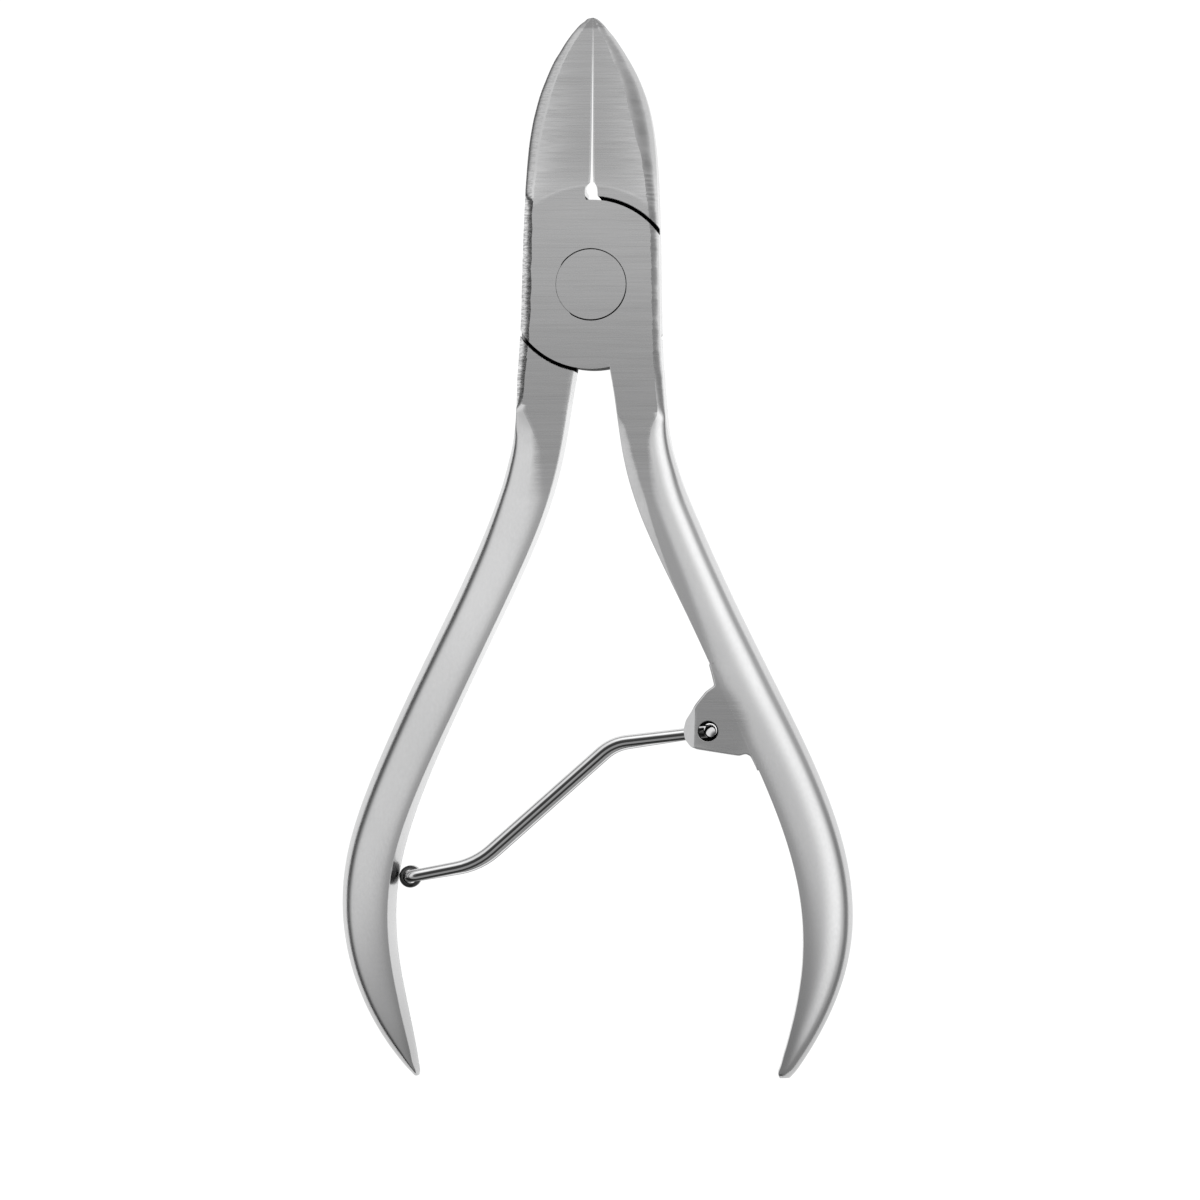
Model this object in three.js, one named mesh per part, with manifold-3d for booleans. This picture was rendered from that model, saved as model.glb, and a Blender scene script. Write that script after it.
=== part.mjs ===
// Nail nipper: two crossing levers in a lap joint, a flush rivet, and a U-shaped wire spring with a small roller.
// Millimetres. It lies flat: the pivot axis is Z, the back face of the joint is z = 0, the blades point along +Y,
// and the handles run towards -Y. The front lever has the left blade and the right handle.
import * as THREE from "three";
import { mergeVertices } from "three/addons/utils/BufferGeometryUtils.js";
import Module from "manifold-3d";

// ---- driving dimensions ----
const THICK = 5.6; // thickness of the joint, front face to back face
const MID = THICK / 2;
const LAP_GAP = 0.08; // running gap between the two laps
const LAP_R = 8.35; // radius of each lap disc
const SHOULDER_R = 8.7; // radius of the shoulder that each disc turns in
const SIDE_X = [-6.9, 6.8]; // flat sides of the joint

const RIVET_HEAD_R = 3.48, RIVET_HEAD_H = 1.2, RIVET_SHANK_R = 2.3;
const RIVET_PLAY = 0.05;

const TIP_Y = 26.4; // height of the blade tips over the pivot
const LAND = 0.45; // thickness of the cutting edge
const FRONT_TAPER_DEG = 2.4, FRONT_TAPER_Y = 6.6, FRONT_TAPER_R = 9.75;
const BACK_TAPER_DEG = 4.6, BACK_TAPER_Y = 9.9;
const SLIT_BASE = [-0.1, 0.26], SLIT_TIP = [0.17, 0.23]; // inner faces of the two blades, at the notch and at the tip
const NOTCH = { left: -0.62, right: 0.62, bottom: 7.6, top: 9.98 };

const LUG_THICK = 4.7;
const LUG_HOLE = [11.57, -44.16], LUG_HOLE_R = 1.0;
const SLOT_THICK = 2.7, SLOT_END_X = 12.9;

const WIRE_R = 0.6;
const LEG_Z_LUG = 0.65; // half the spacing of the wire's legs in the lug
const LEG_Z_ROLLER = 1.8; // and where they pass the roller
const HOOK_TOP_Z = 2.05, HOOK_BEND_R = 0.68;
const U_BEND_R = 0.8;
const WIRE_BENDS = [ // centre line between the lug hole and the roller: [x, y, bend radius]
  [2.01, -45.41, 4.5],
  [-11.52, -57.41, 7.4],
];
const ROLLER = { x: -18.15, y: -58.7, r: 1.1, bore: 0.675, length: 1.9 };

// outer edges of the blades, tip to joint: [x, y]
const BLADE_LEFT = [[-0.52, 26.35], [-1.01, 25.92], [-1.51, 25.52], [-1.8, 25.12], [-2.1, 24.73], [-2.6, 23.93], [-3.09, 23.14], [-3.59, 22.35], [-4.18, 21.16], [-4.68, 19.97], [-5.13, 18.78], [-5.47, 17.59], [-5.77, 16.4], [-5.99, 15.21], [-6.17, 14.02], [-6.39, 11.64], [-6.54, 9.26], [-6.67, 6.88], [-6.81, 3.51], [-6.93, -0.46], [-7.03, -3.83], [-7.26, -7.99]];
const BLADE_RIGHT = [[0.58, 26.35], [1.07, 25.92], [1.42, 25.52], [1.76, 25.12], [2.08, 24.73], [2.64, 23.93], [3.15, 23.14], [3.63, 22.35], [4.28, 21.16], [4.82, 19.97], [5.26, 18.78], [5.61, 17.59], [5.87, 16.4], [6.07, 15.21], [6.22, 14.02], [6.42, 11.64], [6.54, 9.26], [6.63, 6.88], [6.71, 3.51], [6.77, -0.46], [6.82, -3.83], [6.92, -7.99]];

// handle stations, joint to tip: [y, outer x, inner x]
const HANDLE_LEFT = [[-4.4, -7.03, -0.9], [-6.6, -7.18, -1.28], [-8.2, -7.27, -1.56], [-9.78, -7.36, -1.83], [-10.97, -7.39, -2.03], [-12.16, -7.41, -2.22], [-13.54, -7.5, -2.43], [-14.54, -7.63, -2.59], [-15.53, -7.8, -2.76], [-16.52, -8.02, -2.95], [-17.71, -8.33, -3.2], [-19.29, -8.76, -3.59], [-21.28, -9.42, -4.17], [-23.26, -10.18, -4.85], [-25.74, -11.22, -5.83], [-28.22, -12.35, -6.91], [-30.7, -13.52, -8.05], [-33.67, -14.98, -9.45], [-36.65, -16.44, -10.85], [-40.12, -18.12, -12.47], [-43.59, -19.74, -14.05], [-47.06, -21.28, -15.58], [-50.53, -22.7, -17.0], [-53.5, -23.73, -18.06], [-55.98, -24.39, -18.77], [-57.96, -24.74, -19.2], [-59.45, -24.9, -19.42], [-60.94, -24.96, -19.56], [-62.42, -24.93, -19.61], [-63.91, -24.8, -19.58], [-65.9, -24.48, -19.42], [-67.88, -23.99, -19.14], [-69.86, -23.31, -18.77], [-71.84, -22.44, -18.36], [-73.63, -21.47, -17.99], [-75.22, -20.45, -17.67], [-76.41, -19.57, -17.46], [-77.4, -18.76, -17.3], [-78.1, -18.12, -17.22], [-78.45, -17.7, -17.35]];
const HANDLE_RIGHT = [[-4.4, 6.84, 1.1], [-6.6, 6.92, 1.48], [-8.2, 7.02, 1.77], [-9.78, 7.13, 2.06], [-10.97, 7.23, 2.26], [-12.16, 7.32, 2.42], [-13.54, 7.46, 2.6], [-14.54, 7.6, 2.73], [-15.53, 7.78, 2.87], [-16.52, 8.01, 3.03], [-17.71, 8.35, 3.26], [-19.29, 8.87, 3.64], [-21.28, 9.64, 4.24], [-23.26, 10.49, 4.97], [-25.74, 11.57, 6.04], [-28.22, 12.69, 7.21], [-30.7, 13.84, 8.42], [-33.67, 15.27, 9.85], [-36.65, 16.74, 11.24], [-40.12, 18.48, 12.84], [-43.59, 20.2, 14.44], [-47.06, 21.83, 16.04], [-50.53, 23.28, 17.54], [-53.5, 24.33, 18.68], [-55.98, 25.02, 19.48], [-57.96, 25.43, 20.0], [-59.45, 25.65, 20.32], [-60.94, 25.78, 20.56], [-62.42, 25.82, 20.73], [-63.91, 25.77, 20.82], [-65.9, 25.53, 20.82], [-67.88, 25.11, 20.69], [-69.86, 24.49, 20.42], [-71.84, 23.69, 20.05], [-73.63, 22.81, 19.62], [-75.22, 21.92, 19.2], [-76.41, 21.18, 18.85], [-77.4, 20.52, 18.56], [-78.2, 19.9, 18.32], [-78.55, 19.55, 18.62]];
// handle section along its length: [y, half thickness, outer rounding width share, outer drop, inner rounding width share, inner drop]
// below y = -31 the two roundings meet in a crown
const SECTION = [
  [-4.4, 2.8, 0.05, 0.3, 0.05, 0.3],
  [-12.16, 2.8, 0.05, 0.3, 0.06, 0.32],
  [-13.2, 2.8, 0.22, 0.5, 0.065, 0.34],
  [-15.53, 2.8, 0.42, 1.0, 0.075, 0.4],
  [-19.29, 2.8, 0.54, 1.7, 0.14, 0.7],
  [-23.26, 2.8, 0.58, 2.2, 0.24, 1.1],
  [-28.22, 2.8, 0.59, 2.5, 0.36, 1.6],
  [-31.5, 2.79, 0.59, 2.6, 0.4, 1.85],
  [-43.6, 2.7, 0.58, 2.55, 0.41, 1.85],
  [-55.0, 2.55, 0.57, 2.4, 0.42, 1.75],
  [-63.9, 2.35, 0.56, 2.2, 0.43, 1.65],
  [-71.8, 2.05, 0.55, 1.9, 0.44, 1.5],
  [-76.4, 1.8, 0.54, 1.65, 0.45, 1.35],
  [-78.1, 1.5, 0.52, 1.3, 0.46, 1.15],
  [-78.6, 1.1, 0.5, 0.9, 0.48, 0.85],
];
const ARC_STEPS = 5; // facets per quarter of a handle's section

// lug on the inner side of the right handle
const LUG_OUTLINE = [[12.6, -39.3], [11.27, -40.43], [10.13, -42.07], [9.5, -43.08], [9.22, -43.5], [9.18, -44.0], [9.28, -44.6], [9.5, -45.11], [9.8, -45.6], [10.26, -45.93], [12.77, -46.3], [14.68, -46.56], [15.32, -46.44], [15.94, -46.88], [17.7, -47.0], [15.5, -39.3]];
const LUG_BEVEL = 0.3;

// ---- manifold helpers ----
const wasm = await Module();
wasm.setup();

function solid(geometry) {
  const g = geometry.index ? geometry.toNonIndexed() : geometry.clone();
  const bare = new THREE.BufferGeometry().setAttribute("position", g.getAttribute("position"));
  const merged = mergeVertices(bare, 1e-4);
  return new wasm.Manifold(new wasm.Mesh({
    numProp: 3,
    vertProperties: merged.attributes.position.array,
    triVerts: new Uint32Array(merged.index.array),
  }));
}

function geometryOf(manifold) {
  const m = manifold.getMesh(), n = m.numProp;
  const v = new Float32Array(m.numVert * 3);
  for (let i = 0; i < m.numVert; i++) v.set(m.vertProperties.subarray(i * n, i * n + 3), i * 3);
  const g = new THREE.BufferGeometry();
  g.setAttribute("position", new THREE.BufferAttribute(v, 3));
  g.setIndex(new THREE.BufferAttribute(new Uint32Array(m.triVerts), 1));
  const flat = g.toNonIndexed();
  flat.computeVertexNormals();
  return flat;
}

function shapeOf(points) {
  return new THREE.Shape(points.map(([x, y]) => new THREE.Vector2(x, y)));
}

// a flat plate of an outline, from z0 to z1
function plate(points, z0, z1) {
  return solid(new THREE.ExtrudeGeometry(shapeOf(points), { depth: z1 - z0, bevelEnabled: false, steps: 1 }).translate(0, 0, z0));
}

// the same, with chamfered front and back edges
function chamferedPlate(points, z0, z1, bevel) {
  return solid(new THREE.ExtrudeGeometry(shapeOf(points), {
    depth: z1 - z0 - 2 * bevel, bevelEnabled: true, bevelThickness: bevel, bevelSize: bevel, bevelOffset: -bevel, bevelSegments: 1, steps: 1,
  }).translate(0, 0, z0 + bevel));
}

function disc(r, z0, z1, segments = 96, x = 0, y = 0) {
  return solid(new THREE.CylinderGeometry(r, r, z1 - z0, segments, 1).rotateX(Math.PI / 2).translate(x, y, (z0 + z1) / 2));
}

function box(x0, x1, y0, y1, z0, z1) {
  return solid(new THREE.BoxGeometry(x1 - x0, y1 - y0, z1 - z0).translate((x0 + x1) / 2, (y0 + y1) / 2, (z0 + z1) / 2));
}

// ---- handles ----
function sectionAt(y) {
  const s = SECTION;
  if (y >= s[0][0]) return s[0].slice(1);
  for (let i = 1; i < s.length; i++) {
    if (y >= s[i][0]) {
      const t = (y - s[i - 1][0]) / (s[i][0] - s[i - 1][0]);
      return s[i].slice(1).map((v, j) => s[i - 1][j + 1] + t * (v - s[i - 1][j + 1]));
    }
  }
  return s[s.length - 1].slice(1);
}

// one section of a handle as a ring of [x, z], symmetric about the mid-plane
function handleRing(y, xOut, xIn) {
  const [half, shareOut, dropOut, shareIn, dropIn] = sectionAt(y);
  const w = xIn - xOut, top = [];
  for (let i = 0; i <= ARC_STEPS; i++) {
    const a = (i / ARC_STEPS) * Math.PI / 2;
    top.push([xOut + w * shareOut * (1 - Math.cos(a)), half - dropOut * (1 - Math.sin(a))]);
  }
  for (let i = ARC_STEPS; i >= 0; i--) {
    const a = (i / ARC_STEPS) * Math.PI / 2;
    top.push([xIn - w * shareIn * (1 - Math.cos(a)), half - dropIn * (1 - Math.sin(a))]);
  }
  const bottom = top.map(([x, z]) => [x, -z]).reverse();
  return top.concat(bottom).map(([x, z]) => [x, MID + z]);
}

// a handle: a closed cylinder whose rings are moved onto the sections
function handle(stations) {
  const rings = stations.map(([y, xo, xi]) => ({ y, ring: handleRing(y, xo, xi) }));
  const n = rings[0].ring.length, rows = rings.length;
  const g = new THREE.CylinderGeometry(1, 1, 1, n, rows - 1, false);
  const p = g.attributes.position;
  const at = (row, col) => {
    const { y, ring } = rings[row], [x, z] = ring[col % n];
    return [x, y, z];
  };
  let k = 0;
  for (let row = 0; row < rows; row++) for (let col = 0; col <= n; col++) p.setXYZ(k++, ...at(row, col));
  for (const row of [0, rows - 1]) {
    const { y, ring } = rings[row];
    const c = [ring.reduce((s, q) => s + q[0], 0) / n, y, MID];
    for (let col = 0; col < n; col++) p.setXYZ(k++, ...c);
    for (let col = 0; col <= n; col++) p.setXYZ(k++, ...at(row, col));
  }
  const made = solid(g);
  if (made.volume() > 0) return made;
  const idx = g.index.array;
  for (let i = 0; i < idx.length; i += 3) [idx[i + 1], idx[i + 2]] = [idx[i + 2], idx[i + 1]];
  return solid(g);
}

// ---- blades ----
// everything in front of the tapered front face of the blades
function frontTaper() {
  const g = new THREE.BoxGeometry(40, 60, 6).translate(0, 30, 3);
  g.rotateX(-THREE.MathUtils.degToRad(FRONT_TAPER_DEG)).translate(0, FRONT_TAPER_Y, THICK);
  return solid(g).subtract(disc(FRONT_TAPER_R, -1, THICK + 3, 128));
}

function backTaper() {
  const g = new THREE.BoxGeometry(40, 60, 6).translate(0, 30, -3);
  g.rotateX(THREE.MathUtils.degToRad(BACK_TAPER_DEG)).translate(0, BACK_TAPER_Y, 0);
  return solid(g);
}

// hollow grind behind the cutting edges: its ridge runs LAND under the front face
function hollow() {
  const side = [[0.06, 0], [0.42, -0.3], [0.95, -0.8], [1.6, -1.55], [2.25, -2.5], [2.85, -3.7], [3.3, -5.0], [3.7, -7.5]];
  const outline = side.concat(side.map(([x, z]) => [-x, z]).reverse());
  const g = new THREE.ExtrudeGeometry(shapeOf(outline), { depth: 40, bevelEnabled: false, steps: 1 });
  g.rotateX(Math.PI / 2); // profile in XZ, running along -Y
  g.translate(0, 30, -LAND);
  g.rotateX(-THREE.MathUtils.degToRad(FRONT_TAPER_DEG)).translate(0.12, FRONT_TAPER_Y, THICK);
  return solid(g);
}

function notch() {
  const { left, right, bottom, top } = NOTCH, h = 0.3, pts = [[left, bottom], [right, bottom]];
  for (let i = 0; i <= 10; i++) {
    const a = (i / 10) * Math.PI;
    pts.push([(left + right) / 2 + (right - left) / 2 * Math.cos(a), top - 0.62 + 0.62 * Math.sin(a)]);
  }
  return plate(pts, -h, THICK + h);
}

const cutTaper = frontTaper(), cutBack = backTaper(), cutHollow = hollow(), cutNotch = notch();
const bareOutline = BLADE_LEFT.slice().reverse().concat([[-0.2, TIP_Y], [0.3, TIP_Y]], BLADE_RIGHT).concat([[6.92, -12], [-7.26, -12]]);
const head = chamferedPlate(bareOutline, 0, THICK, 0.32);

function blade(side) {
  const left = side < 0, outer = left ? BLADE_LEFT : BLADE_RIGHT;
  const i = left ? 0 : 1;
  const lower = outer.filter(([, y]) => y > 3.2);
  const edgeAt = (y) => SLIT_BASE[i] + (SLIT_TIP[i] - SLIT_BASE[i]) * (y - 10) / (TIP_Y - 10);
  const pts = [[edgeAt(TIP_Y), TIP_Y], ...lower, [SIDE_X[i], 3.2], [edgeAt(3.2), 3.2]];
  return plate(pts, 0, THICK).intersect(head).subtract(cutTaper).subtract(cutBack).subtract(cutHollow).subtract(cutNotch);
}

const stemFront = MID + LAP_GAP / 2, stemBack = MID - LAP_GAP / 2;
const sides = box(SIDE_X[0], SIDE_X[1], -12, 12, -1, THICK + 1);
const shank = disc(RIVET_SHANK_R + RIVET_PLAY, -1, THICK + 1, 64);

function lug() {
  return chamferedPlate(LUG_OUTLINE, MID - LUG_THICK / 2, MID + LUG_THICK / 2, LUG_BEVEL);
}

function leverFront() {
  const clearBack = disc(SHOULDER_R, -1, stemFront, 96);
  const lap = disc(LAP_R, stemFront, THICK, 96).intersect(head).intersect(sides);
  return blade(-1).add(handle(HANDLE_RIGHT)).subtract(clearBack).add(lap).add(lug())
    .subtract(box(8, SLOT_END_X, -50, -37, MID - SLOT_THICK / 2, MID + SLOT_THICK / 2))
    .subtract(disc(LUG_HOLE_R, -1, THICK + 1, 40, ...LUG_HOLE))
    .subtract(shank)
    .subtract(disc(RIVET_HEAD_R + RIVET_PLAY, THICK - RIVET_HEAD_H - RIVET_PLAY, THICK + 1, 64));
}

function leverBack() {
  const clearFront = disc(SHOULDER_R, stemBack, THICK + 1, 96);
  const lap = disc(LAP_R, 0, stemBack, 96).intersect(head).intersect(sides);
  return blade(1).add(handle(HANDLE_LEFT)).subtract(clearFront).add(lap)
    .subtract(shank)
    .subtract(disc(RIVET_HEAD_R + RIVET_PLAY, -1, RIVET_HEAD_H + RIVET_PLAY, 64));
}

// ---- rivet ----
function rivet() {
  const r = RIVET_HEAD_R, h = RIVET_HEAD_H, s = RIVET_SHANK_R;
  const profile = [[0, 0], [r, 0], [r, h], [s, h], [s, THICK - h], [r, THICK - h], [r, THICK], [0, THICK]];
  return new THREE.LatheGeometry(profile.map(([x, y]) => new THREE.Vector2(x, y)), 64).rotateX(Math.PI / 2);
}

// ---- wire spring ----
// centre line as points and directions: straight runs joined by arcs
function filleted(corners) {
  const out = [];
  const v = corners.map(([x, y, z]) => new THREE.Vector3(x, y, z));
  const push = (p, d) => out.push({ p: p.clone(), d: d.clone().normalize() });
  push(v[0], v[1].clone().sub(v[0]));
  for (let i = 1; i < v.length - 1; i++) {
    const a = v[i - 1].clone().sub(v[i]).normalize(), b = v[i + 1].clone().sub(v[i]).normalize();
    const r = corners[i][3], turn = Math.PI - a.angleTo(b);
    const setback = r * Math.tan(turn / 2);
    const p0 = v[i].clone().addScaledVector(a, setback);
    const bis = a.clone().add(b).normalize();
    const centre = v[i].clone().addScaledVector(bis, r / Math.cos(turn / 2));
    const axis = a.clone().negate().cross(b).normalize();
    const steps = Math.max(3, Math.ceil(turn / 0.3));
    for (let j = 0; j <= steps; j++) {
      const t = (j / steps) * turn;
      push(centre.clone().add(p0.clone().sub(centre).applyAxisAngle(axis, t)), a.clone().negate().applyAxisAngle(axis, t));
    }
  }
  const n = v.length;
  push(v[n - 1], v[n - 1].clone().sub(v[n - 2]));
  return out;
}

class StationPath extends THREE.Curve {
  constructor(stations) {
    super();
    this.stations = stations;
  }
  at(u) {
    const i = Math.round(u * (this.stations.length - 1));
    return this.stations[Math.min(Math.max(i, 0), this.stations.length - 1)];
  }
  getPoint(u, target = new THREE.Vector3()) { return target.copy(this.at(u).p); }
  getPointAt(u, target = new THREE.Vector3()) { return target.copy(this.at(u).p); }
  getTangent(u, target = new THREE.Vector3()) { return target.copy(this.at(u).d); }
  getTangentAt(u, target = new THREE.Vector3()) { return target.copy(this.at(u).d); }
}

function springWire() {
  const [hx, hy] = LUG_HOLE;
  const end = [ROLLER.x, ROLLER.y];
  const lengths = [[hx, hy], ...WIRE_BENDS, end].map((p, i, a) => i ? Math.hypot(p[0] - a[i - 1][0], p[1] - a[i - 1][1]) : 0);
  const total = lengths.reduce((s, l) => s + l, 0);
  const legZ = (i) => LEG_Z_LUG + (LEG_Z_ROLLER - LEG_Z_LUG) * lengths.slice(0, i + 1).reduce((s, l) => s + l, 0) / total;
  const leg = [
    [hx, hy, HOOK_TOP_Z, 0],
    [hx, hy, LEG_Z_LUG, HOOK_BEND_R],
    ...WIRE_BENDS.map(([x, y, r], i) => [x, y, legZ(i + 1), r]),
    [...end, LEG_Z_ROLLER, U_BEND_R],
  ];
  const other = leg.map(([x, y, z, r]) => [x, y, -z, r]).reverse();
  const corners = leg.concat(other).map(([x, y, z, r]) => [x, y, MID + z, r]);
  const stations = filleted(corners);
  const section = new THREE.Shape();
  const n = 10;
  for (let i = 0; i < n; i++) {
    const a = (i / n) * 2 * Math.PI;
    section[i ? "lineTo" : "moveTo"](WIRE_R * Math.cos(a), WIRE_R * Math.sin(a));
  }
  return new THREE.ExtrudeGeometry(section, { steps: stations.length - 1, bevelEnabled: false, extrudePath: new StationPath(stations) });
}

function springRoller() {
  const { r, bore, length } = ROLLER, e = 0.12, h = length / 2;
  const profile = [[bore, -h], [r - e, -h], [r, -h + e], [r, h - e], [r - e, h], [bore, h], [bore, -h]];
  return new THREE.LatheGeometry(profile.map(([x, y]) => new THREE.Vector2(x, y)), 32).rotateX(Math.PI / 2);
}

// ---- assembly ----
const brushed = () => new THREE.MeshStandardMaterial({ color: 0xb9babb, roughness: 0.34, metalness: 1.0 });
const polished = () => new THREE.MeshStandardMaterial({ color: 0xc6c7c8, roughness: 0.14, metalness: 1.0 });

function named(name, geometry, material) {
  const mesh = new THREE.Mesh(geometry, material);
  mesh.name = name;
  return mesh;
}

const nipper = new THREE.Group();
nipper.add(named("lever_front", geometryOf(leverFront()), brushed()));
nipper.add(named("lever_back", geometryOf(leverBack()), brushed()));
nipper.add(named("pivot_rivet", rivet(), brushed()));
nipper.add(named("spring_wire", springWire(), polished()));
const roller = named("spring_roller", springRoller(), polished());
roller.position.set(ROLLER.x, ROLLER.y, MID);
nipper.add(roller);

export default nipper;
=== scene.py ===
import math
import bpy
import bmesh
import numpy as np
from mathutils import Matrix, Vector


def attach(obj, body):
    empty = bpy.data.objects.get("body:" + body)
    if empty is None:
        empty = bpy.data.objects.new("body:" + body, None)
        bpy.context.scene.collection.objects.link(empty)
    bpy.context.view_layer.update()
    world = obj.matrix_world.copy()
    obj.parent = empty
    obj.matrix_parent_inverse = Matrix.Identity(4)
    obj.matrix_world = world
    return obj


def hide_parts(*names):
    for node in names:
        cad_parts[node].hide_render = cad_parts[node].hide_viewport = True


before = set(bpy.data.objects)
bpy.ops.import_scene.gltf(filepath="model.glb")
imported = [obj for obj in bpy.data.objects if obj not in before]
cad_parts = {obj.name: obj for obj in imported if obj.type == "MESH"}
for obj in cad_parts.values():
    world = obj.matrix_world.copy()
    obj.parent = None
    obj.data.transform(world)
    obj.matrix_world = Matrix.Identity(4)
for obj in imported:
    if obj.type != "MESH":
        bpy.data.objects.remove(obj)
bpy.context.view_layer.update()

MM = 0.001

# ------------------------------------------------------------------ dimensions (mm)
T = 5.6
MID = T / 2
LAP_GAP = 0.08
STEM_FRONT, STEM_BACK = MID + LAP_GAP / 2, MID - LAP_GAP / 2
LAP_R, SHOULDER_R = 8.35, 8.7
RIVET_R, RIVET_H, RIVET_SHANK = 3.48, 1.2, 2.3
TIP_Y = 26.4
LAND = 0.45
LUG_HOLE = (11.57, -44.16)
WIRE_R = 0.6
ROLLER = (-18.15, -58.7)

BLADE_LEFT = [[0.02, 26.42], [-0.22, 26.37], [-0.5, 26.22], [-0.95, 25.88], [-1.4, 25.46], [-1.77, 25.05], [-2.1, 24.63], [-2.6, 23.93], [-3.09, 23.14], [-3.59, 22.35], [-4.18, 21.16], [-4.68, 19.97], [-5.13, 18.78], [-5.47, 17.59], [-5.77, 16.4], [-5.99, 15.21], [-6.17, 14.02], [-6.39, 11.64], [-6.54, 9.26], [-6.67, 6.88], [-6.81, 3.51], [-6.93, -0.46], [-7.03, -3.83], [-7.26, -7.99], [-7.39, -10.5]]
BLADE_RIGHT = [[0.3, 26.42], [0.5, 26.34], [0.74, 26.18], [1.1, 25.85], [1.45, 25.46], [1.78, 25.06], [2.1, 24.68], [2.64, 23.93], [3.15, 23.14], [3.63, 22.35], [4.28, 21.16], [4.82, 19.97], [5.26, 18.78], [5.61, 17.59], [5.87, 16.4], [6.07, 15.21], [6.22, 14.02], [6.42, 11.64], [6.54, 9.26], [6.63, 6.88], [6.71, 3.51], [6.77, -0.46], [6.82, -3.83], [6.98, -7.99], [7.13, -9.78]]
# y, outer x, inner x
HANDLE_LEFT = [[-9.78, -7.36, -1.83], [-10.97, -7.39, -2.03], [-12.16, -7.41, -2.22], [-13.54, -7.5, -2.43], [-14.54, -7.63, -2.59], [-15.53, -7.8, -2.76], [-16.52, -8.02, -2.95], [-17.71, -8.33, -3.2], [-19.29, -8.76, -3.59], [-21.28, -9.42, -4.17], [-23.26, -10.18, -4.85], [-25.74, -11.22, -5.83], [-28.22, -12.35, -6.91], [-30.7, -13.52, -8.05], [-33.67, -14.98, -9.45], [-36.65, -16.44, -10.85], [-40.12, -18.12, -12.47], [-43.59, -19.74, -14.05], [-47.06, -21.28, -15.58], [-50.53, -22.7, -17.0], [-53.5, -23.73, -18.06], [-55.98, -24.39, -18.77], [-57.96, -24.74, -19.2], [-59.45, -24.9, -19.42], [-60.94, -24.96, -19.56], [-62.42, -24.93, -19.61], [-63.91, -24.8, -19.58], [-65.9, -24.48, -19.42], [-67.88, -23.99, -19.14], [-69.86, -23.31, -18.77], [-71.84, -22.44, -18.36], [-73.63, -21.47, -17.99], [-75.22, -20.45, -17.67], [-76.41, -19.57, -17.46], [-77.4, -18.76, -17.3], [-78.1, -18.12, -17.22], [-78.45, -17.78, -17.3]]
HANDLE_RIGHT = [[-9.78, 7.13, 2.06], [-10.97, 7.23, 2.26], [-12.16, 7.32, 2.42], [-13.54, 7.46, 2.6], [-14.54, 7.6, 2.73], [-15.53, 7.78, 2.87], [-16.52, 8.01, 3.03], [-17.71, 8.35, 3.26], [-19.29, 8.87, 3.64], [-21.28, 9.64, 4.24], [-23.26, 10.49, 4.97], [-25.74, 11.57, 6.04], [-28.22, 12.69, 7.21], [-30.7, 13.84, 8.42], [-33.67, 15.27, 9.85], [-36.65, 16.74, 11.24], [-40.12, 18.48, 12.84], [-43.59, 20.2, 14.44], [-47.06, 21.83, 16.04], [-50.53, 23.28, 17.54], [-53.5, 24.33, 18.68], [-55.98, 25.02, 19.48], [-57.96, 25.43, 20.0], [-59.45, 25.65, 20.32], [-60.94, 25.78, 20.56], [-62.42, 25.82, 20.73], [-63.91, 25.77, 20.82], [-65.9, 25.53, 20.82], [-67.88, 25.11, 20.69], [-69.86, 24.49, 20.42], [-71.84, 23.69, 20.05], [-73.63, 22.81, 19.62], [-75.22, 21.92, 19.2], [-76.41, 21.18, 18.85], [-77.4, 20.52, 18.56], [-78.1, 19.98, 18.37], [-78.5, 19.6, 18.5]]

# handle section: y, half thickness
HALF = [[-4.4, 2.8], [-24.0, 2.8], [-31.5, 2.79], [-43.6, 2.7], [-55.0, 2.55], [-63.9, 2.35], [-71.8, 2.05], [-76.4, 1.75], [-78.1, 1.5], [-78.6, 1.42]]
# y, width of the rounding from the outer edge (clamped to the face's width), its drop, its starting slope
ROUND_LEFT = [[-4.0, 1.0, 1.05, 0.75], [-10.5, 0.75, 0.75, 0.75], [-11.8, 0.6, 0.5, 0.7], [-12.3, 0.5, 0.2, 0.7], [-13.35, 1.15, 0.42, 0.6], [-14.15, 1.68, 0.62, 0.45], [-14.55, 1.95, 0.78, 0.3], [-14.95, 2.2, 1.0, 0.18], [-15.75, 2.68, 1.22, 0.12], [-16.5, 3.05, 1.38, 0.08], [-17.3, 3.35, 1.5, 0.04], [-18.3, 3.9, 1.62, 0.0], [-19.8, 4.45, 1.74, 0.0], [-21.3, 5.2, 1.82, 0.0], [-23.5, 6.2, 2.0, 0.0], [-26.0, 9.0, 2.22, 0.0], [-29.5, 9.0, 2.4, 0.0], [-33.0, 9.0, 2.52, 0.0], [-52.0, 9.0, 2.48, 0.0], [-61.0, 9.0, 2.2, 0.0], [-70.0, 9.0, 1.85, 0.0], [-75.0, 9.0, 1.6, 0.0], [-80.0, 9.0, 1.2, 0.0]]
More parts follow.
